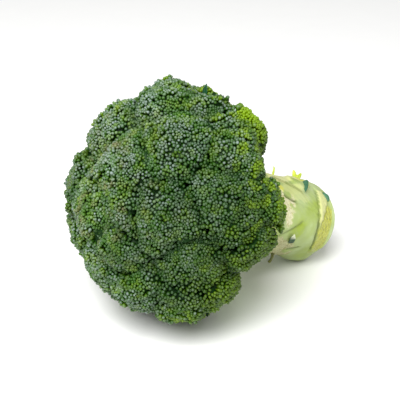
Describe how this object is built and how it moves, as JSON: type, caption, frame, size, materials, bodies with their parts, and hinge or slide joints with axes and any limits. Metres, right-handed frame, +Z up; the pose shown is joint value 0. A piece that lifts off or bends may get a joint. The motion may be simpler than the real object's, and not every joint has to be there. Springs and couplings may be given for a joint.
{
  "type": "broccoli head",
  "caption": "Cut head of broccoli lying on its side: a domed crown of bud clusters on forked branches from one thick pale stalk.",
  "frame": {"origin": "middle of the footprint box, on the surface that the head lies on", "axes": "+X from the crown towards the stalk's cut end, +Z up; the stalk slopes 24 degrees down towards +X"},
  "size_m": [0.183, 0.1468, 0.1454],
  "materials": {
    "buds": "matt, thousands of small waxy flower buds, blue-green with yellow-green young ones",
    "stem": "satin pale green skin with a waxy bloom",
    "stalk_skin": "satin pale green skin with a waxy bloom",
    "leaf_base": "pale yellow-green, fibrous where it is cut",
    "leaf": "dark blue-green, satin",
    "young_leaf": "bright yellow-green, satin"
  },
  "bodies": {
    "root": {"stalk": "stalk_skin", "branch_top": "stem", "floret_top": "buds", "floret_top_near": "buds", "floret_rim_top": "buds", "branch_shoulder": "stem", "floret_shoulder": "buds", "floret_rim_shoulder": "buds", "floret_rim_upper": "buds", "branch_side": "stem", "floret_side_big": "buds", "floret_rim_side": "buds", "branch_lower_side": "stem", "floret_rim_lower": "buds", "floret_lower_near": "buds", "branch_bottom": "stem", "floret_bottom": "buds", "floret_rim_bottom": "buds", "branch_rest_near": "stem", "floret_rest_near": "buds", "branch_lower": "stem", "floret_lower": "buds", "floret_lower_far": "buds", "branch_rest_far": "stem", "floret_rest_far": "buds", "branch_far_lower": "stem", "floret_far_lower": "buds", "floret_rim_far_lower": "buds", "branch_far_side": "stem", "floret_far_side": "buds", "branch_far_top": "stem", "floret_far_top": "buds", "floret_rim_far_top": "buds", "branch_upper_near": "stem", "floret_upper_near": "buds", "branch_middle": "stem", "floret_middle": "buds", "branch_apex": "stem", "floret_apex_upper": "buds", "floret_apex_far": "buds", "floret_apex_near": "buds", "branch_apex_lower": "stem", "floret_apex_lower": "buds", "branch_far_apex": "stem", "floret_far_apex": "buds", "branch_top_far": "stem", "floret_top_far": "buds", "leaf_base_upper": "leaf_base", "leaf_base_end": "leaf_base", "leaf_base_under": "leaf_base", "leaf_scrap_dark": "leaf", "leaf_scrap_end": "leaf", "leaf_scrap_front": "leaf", "leaf_scrap_young": "young_leaf", "leaf_tip_crown": "leaf"}
  },
  "joints": []
}
